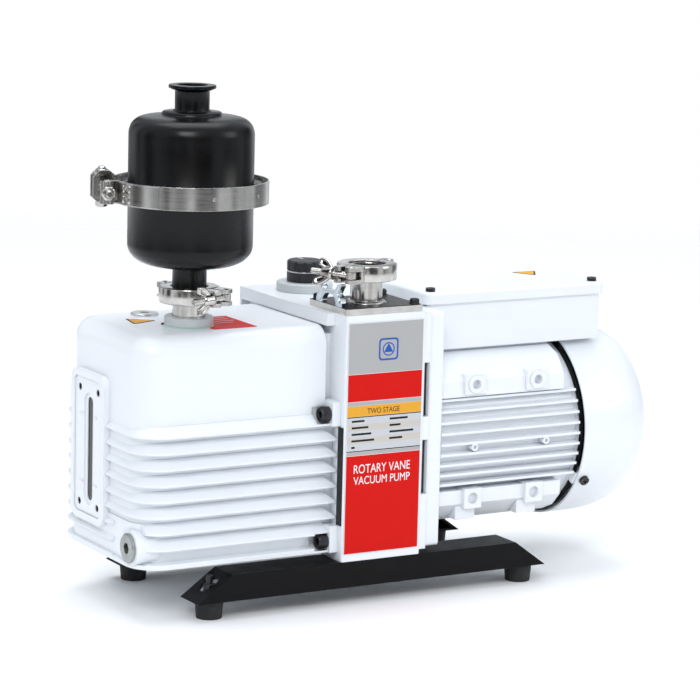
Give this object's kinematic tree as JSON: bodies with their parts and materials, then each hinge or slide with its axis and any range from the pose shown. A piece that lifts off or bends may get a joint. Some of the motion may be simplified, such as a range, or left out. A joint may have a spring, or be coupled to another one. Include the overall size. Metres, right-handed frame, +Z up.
{
  "type": "rotary vane vacuum pump",
  "caption": "Oil-sealed two-stage rotary vane vacuum pump with finned motor, ribbed oil casing, clamp-flange intake, and a canister oil mist filter on its exhaust, on two base rails.",
  "frame": {"origin": "on the floor under the feet, midway along and across the pump", "axes": "+X from the sight glass end to the fan cowl, +Y away from the nameplate, +Z up"},
  "size_m": [0.5287, 0.179, 0.4455],
  "materials": {
    "white_paint": "semi-gloss",
    "white_plastic": "satin",
    "black_paint": "satin",
    "black_steel_screw": "satin",
    "rubber": "matt",
    "stainless": "brushed",
    "zinc": "bright",
    "aluminium": "satin",
    "cast_iron": "machined",
    "steel": "ground",
    "copper": "enamelled",
    "black_plastic": "matt",
    "red_plastic": "matt",
    "vane": "matt",
    "glass": "clear",
    "label": "printed",
    "grey_ring": "satin",
    "paper": "matt"
  },
  "bodies": {
    "pump": {"base_rail_front": "black_paint", "base_rail_rear": "black_paint", "rubber_feet": "rubber", "foot_bolts": "black_steel_screw", "oil_casing": "white_paint", "sight_glass_plate": "white_paint", "sight_glass_window": "glass", "sight_glass_screws": "black_steel_screw", "oil_drain_plug": "aluminium", "oil_fill_plug": "aluminium", "casing_bolts": "black_steel_screw", "pump_flange": "white_paint", "nameplate": "label", "intake_plate": "stainless", "intake_port": "stainless", "intake_plate_screws": "black_steel_screw", "lifting_eye": "zinc", "exhaust_port": "stainless", "exhaust_clamp_jaw_a": "stainless", "exhaust_clamp_jaw_b": "stainless", "intake_clamp_jaw_a": "stainless", "intake_clamp_jaw_b": "stainless", "gas_ballast_base": "grey_ring", "motor_flange": "white_paint", "motor_housing": "white_paint", "motor_rear_shield": "black_paint", "fan_cowl": "white_paint", "cowl_screws": "black_steel_screw", "stator_core": "steel", "stator_windings": "copper", "motor_bearings": "steel", "terminal_box": "white_plastic", "terminal_box_lid": "white_plastic", "lid_screws": "black_steel_screw", "switch_bezel": "black_plastic", "power_inlet": "black_plastic", "pump_stator": "cast_iron", "pump_end_plates": "cast_iron", "filter_lower_shell": "black_paint", "filter_upper_shell": "black_paint", "filter_element": "paper", "v_band": "stainless", "t_bolt": "zinc"},
    "rotor": {"motor_rotor": "steel", "cooling_fan": "black_plastic", "coupling_hubs": "cast_iron", "coupling_spider": "red_plastic", "pump_rotor": "steel"},
    "vane_1a": {"vane_first_stage_a": "vane"},
    "vane_1b": {"vane_first_stage_b": "vane"},
    "vane_2a": {"vane_second_stage_a": "vane"},
    "vane_2b": {"vane_second_stage_b": "vane"},
    "exhaust_valve": {"exhaust_valve": "steel"},
    "gas_ballast_knob": {"gas_ballast_knob": "black_plastic"},
    "exhaust_swing_bolt": {"exhaust_swing_bolt": "zinc"},
    "exhaust_wing_nut": {"exhaust_wing_nut": "zinc"},
    "intake_swing_bolt": {"intake_swing_bolt": "zinc"},
    "intake_wing_nut": {"intake_wing_nut": "zinc"},
    "filter_band_nut": {"t_bolt_nut": "zinc"},
    "rocker_switch": {"rocker_switch": "black_plastic"}
  },
  "joints": [
    {"name": "rotor_spin", "type": "hinge", "parent": "pump", "child": "rotor", "pos_m": [0, 0, 0.1304], "axis": [1, 0, 0], "continuous": true},
    {"name": "vane_1a_slide", "type": "slide", "parent": "rotor", "child": "vane_1a", "axis": [0, 1, 0], "range_m": [0, 0.0053]},
    {"name": "vane_1b_slide", "type": "slide", "parent": "rotor", "child": "vane_1b", "axis": [0, -1, 0], "range_m": [0, 0.0053]},
    {"name": "vane_2a_slide", "type": "slide", "parent": "rotor", "child": "vane_2a", "axis": [0, 1, 0], "range_m": [0, 0.0053]},
    {"name": "vane_2b_slide", "type": "slide", "parent": "rotor", "child": "vane_2b", "axis": [0, -1, 0], "range_m": [0, 0.0053]},
    {"name": "exhaust_valve_lift", "type": "slide", "parent": "pump", "child": "exhaust_valve", "axis": [0, 0, 1], "range_m": [0, 0.002], "stiffness_N_per_m": 150, "springref_m": -0.004},
    {"name": "gas_ballast_turn", "type": "hinge", "parent": "pump", "child": "gas_ballast_knob", "pos_m": [-0.035, 0.05, 0.27], "axis": [0, 0, 1], "range_deg": [0, 180]},
    {"name": "exhaust_bolt_swing", "type": "hinge", "parent": "pump", "child": "exhaust_swing_bolt", "pos_m": [-0.16535, -0.04753, 0.2686], "axis": [0, 0, 1], "range_deg": [0, 80]},
    {"name": "exhaust_nut_turn", "type": "hinge", "parent": "exhaust_swing_bolt", "child": "exhaust_wing_nut", "pos_m": [-0.18667, -0.05614, 0.2686], "axis": [0.9272, 0.3746, 0], "continuous": true},
    {"name": "intake_bolt_swing", "type": "hinge", "parent": "pump", "child": "intake_swing_bolt", "pos_m": [-0.06081, -0.07614, 0.2853], "axis": [0, 0, 1], "range_deg": [0, 80]},
    {"name": "intake_nut_turn", "type": "hinge", "parent": "intake_swing_bolt", "child": "intake_wing_nut", "pos_m": [-0.07016, -0.05513, 0.2853], "axis": [0.4067, -0.9135, 0], "continuous": true},
    {"name": "band_nut_turn", "type": "hinge", "parent": "pump", "child": "filter_band_nut", "pos_m": [-0.26157, -0.01812, 0.357], "axis": [0.2924, 0.9563, 0], "continuous": true},
    {"name": "rocker_tilt", "type": "hinge", "parent": "pump", "child": "rocker_switch", "pos_m": [0.084, 0.052, 0.231], "axis": [1, 0, 0], "range_deg": [0, 11]}
  ]
}
